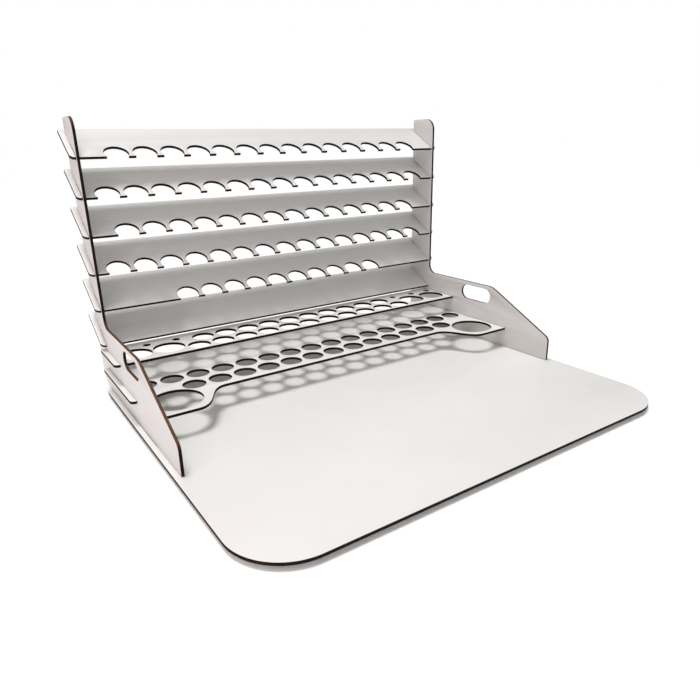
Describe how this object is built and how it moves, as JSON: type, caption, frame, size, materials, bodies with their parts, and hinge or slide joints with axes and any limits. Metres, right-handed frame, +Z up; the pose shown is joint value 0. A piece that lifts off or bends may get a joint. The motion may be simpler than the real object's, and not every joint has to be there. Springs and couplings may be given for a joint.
{
  "type": "paint rack organizer",
  "caption": "Desktop paint rack with slanted notched bottle tiers and level hole plates held between side panels on a flat work board.",
  "frame": {"origin": "centre of the bounding box at floor level, under the feet", "axes": "+X to the right seen from the front, +Y to the back, +Z up"},
  "size_m": [0.5, 0.4384, 0.31],
  "materials": {
    "laminate": "white laminated fibreboard with dark laser-cut edges",
    "rubber": "matt"
  },
  "bodies": {
    "root": {"work_board": "laminate", "side_panel_left": "laminate", "side_panel_right": "laminate", "tier_1": "laminate", "tier_2": "laminate", "tier_3": "laminate", "tier_4": "laminate", "tier_5": "laminate", "tier_6": "laminate", "lower_hole_plate": "laminate", "upper_hole_plate": "laminate", "foot_front_left": "rubber", "foot_front_right": "rubber", "foot_rear_left": "rubber", "foot_rear_right": "rubber"}
  },
  "joints": []
}
